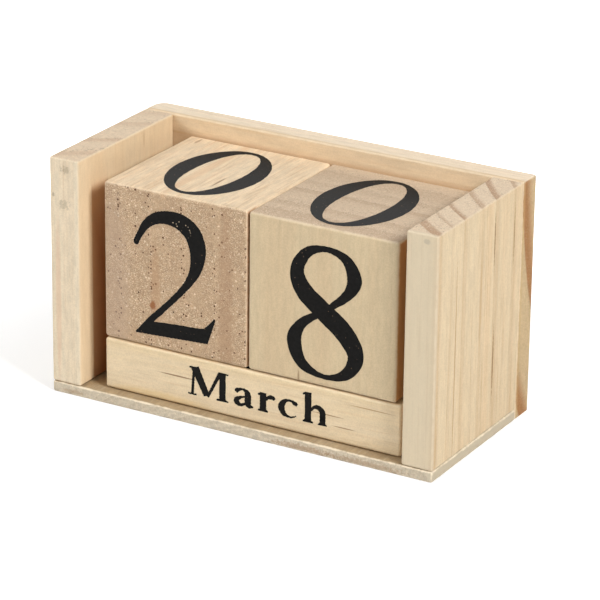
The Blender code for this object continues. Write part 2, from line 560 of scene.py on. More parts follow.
@dataclass(frozen=True)
class InkFinish:
    """Matt black ink, printed on wood: thin and broken where the grain let it down."""

    name: str
    chipped: float = 0.0
    chip_middle: Triple = (0.0, 0.0, 0.0)
    chip_radii: Triple = (1.0, 1.0, 1.0)

    def material(self, effects: Effects) -> bpy.types.Material:
        """Build the material.

        Args:
            effects: The shared node groups.

        Returns:
            Ink with faint mottling and pinholes, and pale chips round one place.
        """
        material, graph, sockets, place = matt_material(self.name, 1.30, 0.25)
        mottle = graph.noise(place, 1.4, 4.0, 0.65)
        grit = graph.noise(place, 7.0, 3.0, 0.7)
        tone = graph.ramp(mottle, 0.3, 0.7)
        colour = graph.mix(tone, (0.0045, 0.0042, 0.0040, 1.0), (0.0085, 0.0080, 0.0075, 1.0))
        pores = effects.pores.use(graph, {"Vector": place, "Cell": 0.42, "Drawn Out": 1.0, "Share": 0.06})
        pinholes = graph.times(pores["Flecks"], 0.5)
        colour = graph.mix(pinholes, colour, linear(120, 96, 74))
        if self.chipped:
            inputs = {
                "Vector": place, "Middle": self.chip_middle, "Radii": self.chip_radii, "Ragged": 0.5,
            }
            zone = effects.spot.use(graph, inputs)["Spot"]
            chips = effects.pores.use(
                graph, {"Vector": place, "Cell": 0.52, "Drawn Out": 1.0, "Share": 0.45},
            )["Flecks"]
            share = graph.times(graph.times(zone, chips), self.chipped)
            colour = graph.mix(share, colour, linear(196, 176, 150))
        graph.feed(sockets["Base Color"], colour)
        graph.feed(sockets["Roughness"], graph.plus(0.46, graph.times(grit, 0.16)))
        bump = graph.add("ShaderNodeBump", {"Height": grit, "Strength": 0.25, "Distance": 0.00004})
        graph.feed(sockets["Normal"], bump.outputs[0])
        return material


# Blocks of wood


def eased_lines(low: float, high: float, edge: float, spacing: float, fine: float) -> np.ndarray:
    """Where the lattice of a rounded block is cut along one axis.

    The rounded part takes the steps edge times tan(angle) for even angles up to 45 degrees,
    so that the arc is divided evenly. A guard line stands just inside it, a zone of the
    width fine is cut finely, and the rest is cut evenly.

    Args:
        low: Lower side of the block.
        high: Upper side of the block.
        edge: Radius of its eased edges.
        spacing: Step over the flat middle.
        fine: Width of the finely cut zones inside both ends, or 0.

    Returns:
        The sorted positions.
    """
    steps = edge * (1 - np.tan(np.radians((45, 30, 15, 0))))
    guard = np.array((edge + 0.25 * MM,))
    zone = np.linspace(edge + 0.25 * MM, fine, 9)[1:] if fine > edge + 0.25 * MM else guard[:0]
    near = np.concatenate((steps, guard, zone))
    room = (high - low) - 2 * near[-1]
    middle = np.linspace(near[-1], near[-1] + room, max(2, round(room / spacing) + 1))[1:-1]
    return np.concatenate((low + near, low + middle, (high - near)[::-1]))


def block_shell(counts: tuple[int, int, int]) -> Sheet:
    """The six sides of a lattice block as one closed sheet of squares.

    Every lattice point has a number. Each side is a sheet of those numbers, turned so that
    its squares face outwards, and points on shared edges have the same number already.

    Args:
        counts: Number of lattice lines along X, Y and Z.

    Returns:
        Lattice indices of the points used, and the squares as numbers of those points.
    """
    numbers = np.arange(math.prod(counts)).reshape(counts)
    squares = []
    for axis in range(3):
        for last in (False, True):
            sheet = np.take(numbers, counts[axis] - 1 if last else 0, axis=axis)
            if last == (axis == 1):
                sheet = sheet.T
            corners = (sheet[:-1, :-1], sheet[1:, :-1], sheet[1:, 1:], sheet[:-1, 1:])
            squares.append(np.stack(corners, axis=-1).reshape(-1, 4))
    used, faces = np.unique(np.concatenate(squares), return_inverse=True)
    return np.stack(np.unravel_index(used, counts), axis=1), faces.reshape(-1, 4)


def wobble(points: np.ndarray, pace: float) -> np.ndarray:
    """Smooth unevenness between -1 and 1: three crossed sine waves over the place in mm."""
    x, y, z = (points / MM * pace).T
    first = np.sin(0.9 * x + 1.7 * y - 0.6 * z)
    second = np.sin(1.3 * z - 0.8 * x + 2.1 * np.sin(0.7 * y))
    third = np.sin(2.3 * x + 1.1 * z + 1.9 * y + 0.5)
    return (first + second + 0.6 * third) / 2.6


def new_mesh(name: str, points: np.ndarray, faces: np.ndarray) -> bpy.types.Mesh:
    """A smooth mesh from arrays of points and faces."""
    mesh = bpy.data.meshes.new(name)
    mesh.from_pydata(points.tolist(), [], faces.tolist())
    mesh.update()
    mesh.shade_smooth()
    return mesh


def new_piece(
    mesh: bpy.types.Mesh, material: bpy.types.Material, body: str,
) -> bpy.types.Object:
    """Put a mesh in the scene as a piece that rides on a body, with the given material."""
    mesh.materials.append(material)
    piece = bpy.data.objects.new(mesh.name, mesh)
    bpy.context.scene.collection.objects.link(piece)
    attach(piece, body)
    LOG.info("%s on %s: %d faces", piece.name, body, len(mesh.polygons))
    return piece


@dataclass(frozen=True)
class Block:
    """A sawn block of wood with eased edges, in place of one CAD node."""

    node: str
    body: str
    slot: str
    finish: WoodFinish
    edge: float = 0.5 * MM
    spacing: float = 1.3 * MM
    unevenness: float = 0.05 * MM
    sanded_corner: float = 0.0
    fill_low: Triple = (0.0, 0.0, 0.0)
    fill_high: Triple = (0.0, 0.0, 0.0)

    def corners(self) -> Sheet:
        """Lowest and highest corner: the node's box, grown a little towards a glued joint."""
        low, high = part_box(self.node)
        return np.array(low) - np.array(self.fill_low), np.array(high) + np.array(self.fill_high)

    def mesh(self) -> bpy.types.Mesh:
        """Round the lattice block over and note end grain and edges on it.

        A lattice point goes to the nearest point of the block shrunk by the edge radius and
        from there one radius outwards. Eased edges are then worn in by up to the
        unevenness. The rear left corner of a sanded board is squeezed from a square to a
        quarter circle: a point's offset from the circle's middle keeps its direction, and
        its larger part becomes its length.

        Returns:
            The closed mesh with the attributes end_grain and edge_wear.
        """
        low, high = self.corners()
        fine = self.sanded_corner
        lines = [eased_lines(low[a], high[a], self.edge, self.spacing, fine) for a in range(3)]
        lattice, faces = block_shell(tuple(len(line) for line in lines))
        square = np.stack([line[lattice[:, a]] for a, line in enumerate(lines)], axis=1)
        inner = np.clip(square, low + self.edge, high - self.edge)
        outward = square - inner
        outward /= np.linalg.norm(outward, axis=1, keepdims=True)
        eased = np.clip((1 - np.abs(outward).max(axis=1)) / (1 - math.sqrt(0.5)), 0, 1)
        worn = self.unevenness * eased * (0.5 + 0.5 * wobble(square, 0.9))
        points = inner + outward * (self.edge - worn)[:, None]
        if self.sanded_corner:
            middle = np.array((low[0] + self.sanded_corner, high[1] - self.sanded_corner))
            points = self.sand_corner(points, middle)

        depth = np.sort(np.minimum(square - low, high - square), axis=1)[:, 1]
        marks = {
            "end_grain": outward[:, self.finish.fibre.value] ** 2,
            # Nearness to an edge, which places the pale edges (rubbing and a painted highlight) and the
            # dust
            "edge_wear": np.exp(-((depth / (self.edge + 0.15 * MM)) ** 2)),
        }
        mesh = new_mesh(self.node + "_wood", points, faces)
        for name, values in marks.items():
            layer = mesh.attributes.new(name, "FLOAT", "POINT")
            layer.data.foreach_set("value", values.astype(np.float32))
        return mesh

    def sand_corner(self, points: np.ndarray, middle: np.ndarray) -> np.ndarray:
        """Turn the square rear left corner, seen from above, into a quarter circle."""
        offset = points[:, :2] - middle
        inside = (offset[:, 0] < 0) & (offset[:, 1] > 0)
        length = np.maximum(np.linalg.norm(offset, axis=1), 1e-12)
        share = np.where(inside, np.abs(offset).max(axis=1) / length, 1.0)
        points[:, :2] = middle + offset * share[:, None]
        return points

    def build(self, effects: Effects) -> bpy.types.Object:
        """Put the block in the scene in place of its node."""
        material = self.finish.material(effects)
        piece = new_piece(self.mesh(), material, self.body)
        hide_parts(self.node)
        return piece


# Lettering


def smooth_curve(knots: np.ndarray, steps: int, closed: bool = False) -> np.ndarray:
    """A smooth curve through knots.

    Between two knots it is the cubic through both whose slopes there come from the knots
    before and after, with all the numbers of a knot carried along together.

    Args:
        knots: One knot a row.
        steps: Points from one knot to the next.
        closed: Whether the last knot leads back to the first.

    Returns:
        The points along the curve, one a row.
    """
    if closed:
        ring = np.concatenate((knots[-1:], knots, knots[:2]))
    else:
        ring = np.concatenate((2 * knots[:1] - knots[1:2], knots, 2 * knots[-1:] - knots[-2:-1]))
    before, start, end, after = ring[:-3, None], ring[1:-2, None], ring[2:-1, None], ring[3:, None]
    t = (np.arange(steps) / steps)[None, :, None]
    points = start + 0.5 * t * (
        (end - before) + t * (
            2 * before - 5 * start + 4 * end - after
        ) + t * t * (3 * (start - end) + after - before)
    )
    points = points.reshape(-1, knots.shape[1])
    return points if closed else np.concatenate((points, knots[-1:]))


def strip_between(left: np.ndarray, right: np.ndarray, closed: bool = False) -> Sheet:
    """The strip between two rows of points as triangles.

    Where the rows cross, triangles come out turned over. These are turned back, and those
    without any area are left out.

    Args:
        left: Points x, y of one row.
        right: As many points of the other.
        closed: Whether the last points join up with the first.

    Returns:
        Points x, y, and triangles as numbers of those points, all anticlockwise.
    """
    points = np.concatenate((left, right))
    count = len(left)
    first = np.arange(count if closed else count - 1)
    second = (first + 1) % count
    near = np.stack((first, first + count, second + count), axis=1)
    far = np.stack((first, second + count, second), axis=1)
    triangles = np.concatenate((near, far))
    edge = points[triangles[:, 1:]] - points[triangles[:, :1]]
    area = edge[:, 0, 0] * edge[:, 1, 1] - edge[:, 0, 1] * edge[:, 1, 0]
    triangles = np.where(area[:, None] < 0, triangles[:, ::-1], triangles)
    return points, triangles[np.abs(area) > 1e-6]


@dataclass(frozen=True)
class Stroke:
    """A pen stroke: knots of x, y and pen width in mm, joined by a smooth curve."""

    knots: tuple[Knot, ...]
    closed: bool = False
    steps: int = 9

    def strip(self) -> Sheet:
        """The stroke as a strip of triangles, half a pen width to each side of its curve."""
        curve = smooth_curve(np.array(self.knots, float), self.steps, self.closed)
        middle, half = curve[:, :2], curve[:, 2:] / 2
        if self.closed:
            ahead = np.roll(middle, -1, axis=0) - np.roll(middle, 1, axis=0)
        else:
            ahead = np.gradient(middle, axis=0)
        ahead /= np.linalg.norm(ahead, axis=1, keepdims=True)
        aside = np.stack((-ahead[:, 1], ahead[:, 0]), axis=1)
        return strip_between(middle + aside * half, middle - aside * half, self.closed)


@dataclass(frozen=True)
class Patch:
    """A filled shape between a smooth upper edge and a straight lower one, with sharp ends."""

    upper: tuple[tuple[float, float], ...]
    low_start: tuple[float, float]
    low_end: tuple[float, float]
    steps: int = 9

    def strip(self) -> Sheet:
        """The shape as a strip of triangles, with the lower edge divided as the upper one is."""
        upper = smooth_curve(np.array(self.upper, float), self.steps)
        share = np.linspace(0, 1, len(upper))[:, None]
        lower = np.array(self.low_start) * (1 - share) + np.array(self.low_end) * share
        return strip_between(upper, lower)


def upright(
    x: float, low: float, high: float, pen: float, foot: float = 0.0, head: float = 0.0,
) -> Stroke:
    """A straight stem whose ends flare into bracketed serifs.

    Args:
        x: Middle of the stem.
        low: Its lower end.
        high: Its upper end.
        pen: Its width.
        foot: How much wider the lower serif is than the stem.
        head: How much wider the upper serif is.

    Returns:
        The stroke.
    """
    slab = 0.20 * pen + 0.05
    knots = [(x, low, pen + foot), (x, low + slab, pen + foot * 0.92)]
    knots += [(x, low + 1.5 * slab, pen + foot * 0.18), (x, low + 2.6 * slab, pen)]
    knots += [(x, high - 2.6 * slab, pen), (x, high - 1.5 * slab, pen + head * 0.18)]
    knots += [(x, high - slab, pen + head * 0.92), (x, high, pen + head)]
    return Stroke(tuple(knots))


def bowl(
    x: float, y: float, wide: float, tall: float, thick: float, thin: float, start: float = 0.0,
    sweep: float = 360.0, lean: float = 12.0,
) -> Stroke:
    """Part of an oval drawn with a broad pen: thick where it runs upright, thin across.

    Args:
        x: Middle of the oval.
        y: Its height above the baseline.
        wide: Half its width, to the middle of the pen line.
        tall: Half its height.
        thick: Width of the pen at the sides.
        thin: Width of the pen at top and bottom.
        start: Angle where it begins, counted from the right, anticlockwise.
        sweep: Angle that it covers.
        lean: How far the thick parts are turned from level.

    Returns:
        The stroke, closed if it goes all the way round.
    """
    closed = abs(sweep) >= 360
    count = 16 if closed else 9
    angle = np.radians(start + sweep * np.linspace(0, 1, count + 1 if closed else count))
    angle = angle[:count]
    pen = thin + (thick - thin) * np.abs(np.cos(angle - math.radians(lean))) ** 1.7
    points = np.stack((x + wide * np.cos(angle), y + tall * np.sin(angle), pen), axis=1)
    return Stroke(tuple(map(tuple, points.tolist())), closed, 5)


def dot(x: float, y: float, radius: float) -> Stroke:
    """A full round dot: a short stroke whose width is the chord of the circle."""
    angle = np.linspace(0.06, math.pi - 0.06, 9)
    chord = 2 * radius * np.sin(angle)
    points = np.stack((x - radius * np.cos(angle), np.full(9, y), chord), axis=1)
    return Stroke(tuple(map(tuple, points.tolist())), False, 3)


def bar(x: float, y: float, to_x: float, to_y: float, pen: float, end_pen: float | None = None) -> Stroke:
    """A straight stroke from one point to another, of even or changing width."""
    last = pen if end_pen is None else end_pen
    return Stroke(((x, y, pen), ((x + to_x) / 2, (y + to_y) / 2, (pen + last) / 2), (to_x, to_y, last)))


def drawn(*knots: Knot, closed: bool = False) -> Stroke:
    """A pen stroke through knots given one by one."""
    return Stroke(knots, closed)


# Numbers on a cube's side: mm from the middle of the side, about 30 mm tall
DIGITS: dict[str, tuple[Stroke | Patch, ...]] = {
    "0": (bowl(0.3, -0.6, 8.25, 14.65, 4.75, 1.15, lean=-9),),
    "1": (
        upright(0.6, -15.3, 14.3, 4.3, foot=7.6),
        drawn((-6.8, 10.5, 0.9), (-3.6, 11.4, 1.9), (-0.9, 13.2, 2.2), (0.6, 14, 0.6)),
    ),
    "2": (
        drawn(
            (-10, 5.15, 0.5), (-9.85, 5.5, 1.25), (-9.5, 6.3, 1.4), (-8.7, 7.8, 1.5), (-7.2, 10.15, 2),
            (-4.7, 11.95, 2.6), (-1.65, 12.6, 3.1), (1.6, 12.15, 3.9), (4.3, 10.4, 4.4), (5.65, 7.5, 4.3),
            (5.75, 4.5, 3.6), (5.05, 1.6, 2.7), (3.6, -1.1, 1.95), (1.4, -3.95, 1.5), (-2, -7.6, 1.4),
            (-5.8, -11.4, 1.5), (-7.8, -13.4, 1.1), (-9.95, -15.25, 0.3),
        ),
        Patch(
            (
                (-9.9, -15.2), (-6.9, -12.4), (-5.2, -12), (0.7, -11.5), (6.2, -11.2), (7.6, -10.75),
                (8.7, -9.7), (9.9, -8.35), (10.3, -8.6),
            ),
            (-9.95, -15.4), (8.25, -14.4),
        ),
    ),
    "3": (
        drawn(
            (-8.8, 7.6, 0.9), (-7.2, 10.6, 1.7), (-3.2, 12.9, 2.4), (1.4, 12.6, 3.5), (4.5, 9.8, 4.3),
            (4.3, 5.6, 3.9), (1.2, 2.4, 2.2), (-2.8, 1, 1.1),
        ),
        drawn(
            (-2.8, 1.2, 0.9), (1, 1.2, 1.6), (5.3, -1.2, 3.9), (6.9, -6, 4.7), (5, -11.2, 4),
            (0.6, -14.4, 2.2), (-4.4, -14.6, 1.8), (-8.2, -12.9, 2.8), (-9.6, -11.2, 2.6),
        ),
    ),
    "4": (
        upright(3.7, -15.3, 14.3, 4.3, foot=6.4), bar(3.4, 13.6, -10.6, -6.6, 1.5),
        bar(-11.3, -7.2, 10.6, -7.2, 2),
    ),
    "5": (
        drawn((-5.4, 12.6, 3), (1, 12.5, 3.2), (5.6, 12.9, 2.8), (8, 14.3, 0.8)),
        bar(-5.6, 13.4, -6.7, 1.2, 1.3),
        drawn(
            (-6.8, 1.2, 1), (-2.6, 3.1, 1.9), (2.2, 2.8, 3.3), (5.7, -0.6, 4.5), (6.4, -6.2, 4.8),
            (4, -11.8, 3.7), (-0.6, -14.6, 2.1), (-5.4, -14.2, 1.9), (-8.8, -12, 2.8),
        ),
    ),
    "6": (
        drawn(
            (8, 13.2, 0.9), (3.2, 10.9, 2.5), (-2.9, 5.4, 4), (-6.5, -2, 4.7), (-6.6, -8.2, 4.5),
            (-4, -13.3, 2.9), (0.6, -15.2, 1.2), (5, -13.2, 2.9), (7, -8, 4.5), (5.4, -2.8, 3.3),
            (1.4, -0.6, 1.4), (-3.2, -2.2, 1.1), (-6, -5.4, 1),
        ),
    ),
    "7": (
        drawn((-10, 8, 0.8), (-8.9, 10.8, 2.3), (-6.6, 12.3, 3.6), (9.4, 12.6, 3.2)),
        drawn((9.9, 13.6, 1.2), (5, 5.6, 2.2), (0.6, -3.6, 3.5), (-1.4, -15.3, 4.8)),
    ),
    "8": (
        drawn(
            (1, 13.15, 1.3), (-3.6, 11.7, 2.3), (-6.1, 7.4, 3.3), (-4.5, 3, 4.3), (0.4, -0.9, 4.6),
            (5.6, -4.9, 4.7), (8.25, -9.5, 3.9), (6, -14, 2.5), (0.8, -15.65, 1.1), (-4.6, -13.7, 2.6),
            (-6.65, -8.9, 3.5), (-5, -4.8, 2.3), (-0.9, -1.7, 1.5), (2.6, 0.8, 1.5), (6.2, 4.1, 2.4),
            (7.65, 7.7, 3.5), (5.6, 11.7, 2.3), closed=True,
        ),
    ),
}

X_TALL = 4.4
CAP_TALL = 6.7
TALL = 7
STEM = 1.42
LEG = 1.26
HAIR = 0.42
SPREAD = 1.13


def flag(x: float, y: float) -> Stroke:
    """The small slanting serif at the upper left of a lower-case stem."""
    return drawn((x - 1.15, y - 0.62, 0.34), (x - 0.5, y - 0.42, 0.62), (x + 0.35, y - 0.32, 0.66))


def leg(x: float) -> tuple[Stroke, ...]:
    """The arch and right-hand leg of an n that starts at a stem at x."""
    arch = ((x + 0.5, 2.7, HAIR), (x + 1.25, 3.75, 0.72), (x + 2.2, 3.95, 1.15))
    arch += ((x + 3.08, 3.2, LEG), (x + 3.18, 2.2, LEG), (x + 3.18, 1.2, LEG))
    return Stroke(arch), upright(x + 3.18, 0, 2.3, LEG, foot=0.7)


def stem(tall: float, low: float = 0) -> tuple[Stroke, Stroke]:
    """The stem and flag that a lower-case letter starts with."""
    return upright(0.95, low, tall, STEM, foot=0.8), flag(0.95, tall)


def oval(x: float) -> Stroke:
    """The round of an o, b, p or g, with its middle at x."""
    return bowl(x, 2.15, 1.72, 1.98, STEM + 0.08, HAIR)


# Letters of the month names: how far each moves the next on, and its strokes, in mm
LETTERS: dict[str, tuple[float, tuple[Stroke, ...]]] = {
    "a": (
        5.8,
        (
            drawn(
                (0.72, 3.15, 0.75), (1.15, 3.68, 0.92), (2.1, 4.05, 0.5), (3, 3.72, 1), (3.39, 2.9, STEM),
                (3.39, 1.3, STEM), (3.65, 0.5, 1.15), (4.6, 0.38, 0.36),
            ),
            drawn(
                (3, 2.38, 0.42), (1.95, 2.18, 0.55), (1.05, 1.55, 1.05), (0.92, 0.85, 1.22),
                (1.6, 0.36, 0.85), (2.5, 0.6, 0.6), (3, 1.1, 0.5),
            ),
        ),
    ),
    "b": (5.4, (upright(0.95, 0.15, TALL, STEM), flag(0.95, TALL), oval(2.85))),
    "c": (
        5.68,
        (
            drawn(
                (4.3, 3.3, 0.75), (3.65, 3.66, 0.95), (2.75, 4.03, 0.48), (1.5, 3.6, 1),
                (0.82, 2.2, STEM), (1.35, 0.8, 1.15), (2.45, 0.24, 0.5), (3.4, 0.35, 0.4),
                (4.1, 0.8, 0.2),
            ),
        ),
    ),
    "e": (5, (bowl(2.55, 2.15, 1.72, 1.98, STEM + 0.08, HAIR, 8, 305), bar(1.2, 2.35, 4.75, 2.35, 0.45))),
    "g": (
        5.4,
        (
            bowl(2.4, 2.75, 1.3, 1.35, STEM, HAIR), bowl(2.6, -1, 1.9, 1, 1, 0.55, lean=-30),
            drawn((1.5, 1.6, 0.4), (0.95, 0.95, 0.8), (1.8, 0.3, 1), (3.6, 0.1, 1), (4.4, -0.6, 0.9)),
            bar(3.3, 3.75, 4.9, 4.1, 0.5, 0.85),
        ),
    ),
    "h": (5.9, stem(TALL) + leg(0.95)), "i": (2.5, (*stem(X_TALL), dot(0.85, 6.15, 0.78))),
    "l": (2.5, stem(TALL)), "m": (9, stem(X_TALL) + leg(0.95) + leg(4.1)),
    "n": (5.9, stem(X_TALL) + leg(0.95)), "o": (5.1, (oval(2.5),)),
    "p": (5.5, (*stem(X_TALL, -2.1), oval(2.9))),
    "r": (
        4.14,
        (
            *stem(X_TALL), drawn((1.45, 2.7, HAIR), (2, 3.42, 0.75), (2.7, 3.72, 0.98), (3.2, 3.6, 1)),
            dot(3.15, 3.62, 0.5),
        ),
    ),
    "s": (
        4.3,
        (
            drawn(
                (3.55, 3.15, 0.35), (3, 3.85, 0.55), (2, 4.1, 0.5), (1.15, 3.55, 0.95), (1.3, 2.75, 1.25),
                (2.3, 2.15, 1.4), (3.2, 1.5, 1.25), (3.25, 0.75, 0.9), (2.3, 0.25, 0.45),
                (1.2, 0.45, 0.55), (0.65, 1.35, 0.35),
            ),
        ),
    ),
    "t": (
        3.3,
        (
            drawn(
                (1.5, 5.6, 0.25), (1.3, 4.6, 1), (1.3, 3.8, STEM), (1.3, 1.3, STEM), (1.6, 0.5, 1),
                (2.4, 0.3, 0.5), (3, 0.6, 0.3),
            ),
            bar(0.1, 4.1, 2.9, 4.1, 0.42),
        ),
    ),
    "u": (
        5.8,
        (
            drawn(
                (1.1, 4, STEM), (1.1, 2.4, STEM), (1.2, 1.1, 1.35), (2.1, 0.42, 0.85), (3.1, 0.75, 0.5),
                (3.8, 1.6, 0.4),
            ),
            flag(1.1, X_TALL), upright(4.25, 0.1, X_TALL, STEM), flag(4.25, X_TALL),
            drawn((4.1, 0.35, 0.6), (4.9, 0.3, 0.55), (5.6, 0.5, 0.28)),
        ),
    ),
    "v": (
        5.2,
        (
            bar(1.1, 4.2, 2.75, 0.1, STEM + 0.1, STEM - 0.2), bar(4.35, 4.2, 2.7, 0.2, HAIR),
            bar(0.05, 4.22, 2.3, 4.22, 0.34), bar(3.4, 4.22, 5.2, 4.22, 0.34),
        ),
    ),
    "y": (
        5.3,
        (
            bar(1.1, 4.2, 2.85, 0, STEM + 0.1, STEM - 0.2),
            drawn((4.45, 4.2, HAIR), (3, 0.6, 0.5), (2, -1.5, 0.6), (1.2, -1.9, 0.7)),
            dot(0.95, -1.65, 0.6), bar(0.05, 4.22, 2.3, 4.22, 0.34), bar(3.5, 4.22, 5.3, 4.22, 0.34),
        ),
    ),
    "A": (
        7.4,
        (
            bar(3.35, CAP_TALL, 0.9, 0.1, 0.5), bar(3.2, CAP_TALL, 5.9, 0.1, 1.5, 1.7),
            bar(1.7, 2.2, 5, 2.2, 0.42), bar(0, 0.17, 2.1, 0.17, 0.34), bar(4.5, 0.17, 7.4, 0.17, 0.34),
        ),
    ),
    "D": (
        7.7,
        (
            upright(1.5, 0, CAP_TALL, 1.6, foot=1.1, head=1.1),
            drawn(
                (1.3, 6.45, 0.45), (3.6, 6.4, 0.6), (5.8, 5.6, 1.3), (6.5, 3.35, 1.75), (5.8, 1.1, 1.3),
                (3.6, 0.3, 0.6), (1.3, 0.25, 0.45),
            ),
        ),
    ),
    "F": (
        6.1,
        (
            upright(1.5, 0, CAP_TALL, 1.6, foot=1.2, head=1.1), bar(1.3, 6.45, 5.4, 6.45, 0.5),
            bar(5.45, 6.7, 5.45, 5, 0.75, 0.2), bar(1.6, 3.45, 4.2, 3.45, 0.45),
            bar(4.25, 4.3, 4.25, 2.6, 0.45, 0.25),
        ),
    ),
    "J": (
        4.6,
        (
            upright(2.5, 1, CAP_TALL, 1.6, head=1.2),
            drawn((2.5, 2.4, 1.6), (2.45, 0.7, 1.4), (1.9, -0.35, 0.8), (1, -0.4, 0.6)),
            dot(0.75, 0.05, 0.68),
        ),
    ),
    "M": (
        10.05,
        (
            bar(1.06, 0.1, 1.42, 6.4, 0.62, 0.55), bar(1.62, 6.55, 4.32, 0.45, 1.85, 1.45),
            bar(4.5, 0.3, 7.25, 6.45, 0.55, 0.8), upright(7.8, 0, CAP_TALL, STEM, foot=1.3, head=0.4),
            bar(0.1, 0.2, 2, 0.2, 0.4), bar(0.4, 6.45, 2.3, 6.45, 0.42), bar(7, 6.45, 9.1, 6.5, 0.5, 0.3),
        ),
    ),
    "N": (
        8.4,
        (
            bar(1.3, 0.1, 1.3, 6.5, 0.55), bar(1.3, 6.4, 6.9, 0.2, 1.75, 1.6),
            bar(7.05, 0.1, 7.05, 6.6, 0.55), bar(0.2, 0.17, 2.5, 0.17, 0.34),
            bar(0.2, 6.52, 1.8, 6.52, 0.34), bar(6, 6.52, 8.2, 6.52, 0.34),
        ),
    ),
    "O": (8, (bowl(3.9, 3.35, 2.85, 3.1, 1.75, 0.5),)),
    "S": (
        5.4,
        (
            drawn(
                (4.6, 4.7, 0.4), (3.9, 6.1, 0.6), (2.6, 6.55, 0.6), (1.35, 5.6, 1.3), (1.6, 4.3, 1.7),
                (2.9, 3.4, 1.85), (4, 2.4, 1.7), (4.1, 1.1, 1.2), (2.8, 0.2, 0.6), (1.4, 0.55, 0.6),
                (0.6, 2.1, 0.4),
            ),
        ),
    ),
}


@dataclass(frozen=True)
class Print:
    """A word or number printed on one side of a wooden piece: thin, closed and black."""

    name: str
    strokes: tuple[tuple[float, Stroke | Patch], ...]
    shift: tuple[float, float] = (0.0, 0.0)
    spread: float = 1.0
    rough: float = 0.04

    @staticmethod
    def number(name: str, digit: str) -> "Print":
        """One of the numbers of the cubes, as it stands in the middle of a side."""
        return Print(name, tuple((0.0, stroke) for stroke in DIGITS[digit]))

    @staticmethod
    def word(name: str, text: str, baseline: float, aside: float) -> "Print":
        """A month name with its middle a little aside of the bar's middle."""
        strokes = []
        reach = 0.0
        for letter in text:
            advance, shapes = LETTERS[letter]
            strokes += [(reach, shape) for shape in shapes]
            reach += advance
        return Print(name, tuple(strokes), (aside - SPREAD * reach / 2, baseline), SPREAD)

    def outline(self) -> Sheet:
        """All strokes united into one flat sheet of triangles, in mm.

        Every stroke is a strip of triangles. A triangulation that keeps all their edges tells
        for each new triangle which old ones cover it, and those that any covers are kept.
        The sheet is spread sideways, and crossed sine waves make its rim a little uneven, as
        ink is on fibres.

        Returns:
            Points x, y and triangles as numbers of those points.
        """
        points, faces, reach = [], [], 0
        for along, stroke in self.strokes:
            strip, parts = stroke.strip()
            points.append(strip + np.array((along, 0.0)))
            faces.append(parts + reach)
            reach += len(strip)
        flat = [Vector(point) for point in np.concatenate(points).tolist()]
        found = delaunay_2d_cdt(flat, [], np.concatenate(faces).tolist(), 0, 1e-5, True)
        triangles = np.array([face for face, cover in zip(found[2], found[5]) if cover])
        used, triangles = np.unique(triangles, return_inverse=True)
        corners = np.array([tuple(point) for point in found[0]])[used]
        corners = corners * np.array((self.spread, 1.0)) + np.array(self.shift)
        waves = np.sin(corners[:, ::-1] * np.array((8.3, 6.7)) + 2.0 * np.sin(corners * 3.1))
        return corners + self.rough * waves, triangles.reshape(-1, 3)

    def mesh(self, low: np.ndarray, high: np.ndarray, side: Side, film: float) -> bpy.types.Mesh:
        """Lay the sheet on a side of a block and give it the thickness of the ink.

        The outer and inner sheets are the same triangles, the inner turned over, and each
        edge that only one triangle has gets a wall between them.

        Args:
            low: Lowest corner of the block.
            high: Highest corner of the block.
            side: Side of the block to print on.
            film: How far the ink stands proud.

        Returns:
            The closed mesh.
        """
        flat, triangles = self.outline()
        edges = np.concatenate((triangles[:, (0, 1)], triangles[:, (1, 2)], triangles[:, (2, 0)]))
        known = {tuple(edge) for edge in edges.tolist()}
        rim = np.array([edge for edge in edges.tolist() if (edge[1], edge[0]) not in known])
        count = len(flat)
        walls = np.stack((rim[:, 0], rim[:, 0] + count, rim[:, 1] + count, rim[:, 1]), axis=1)
        normal, up = (np.array(vector, float) for vector in side.value)
        right = np.cross(up, normal)
        middle = (low + high) / 2 + normal * np.abs(normal @ (high - low)) / 2
        sheet = middle + (flat[:, :1] * right + flat[:, 1:] * up) * MM
        points = np.concatenate((sheet + normal * film, sheet - normal * film / 2))
        faces = triangles.tolist() + (triangles[:, ::-1] + count).tolist() + walls.tolist()
        mesh = bpy.data.meshes.new(self.name)
        mesh.from_pydata(points.tolist(), [], faces)
        mesh.update()
        return mesh


# Sub-assemblies


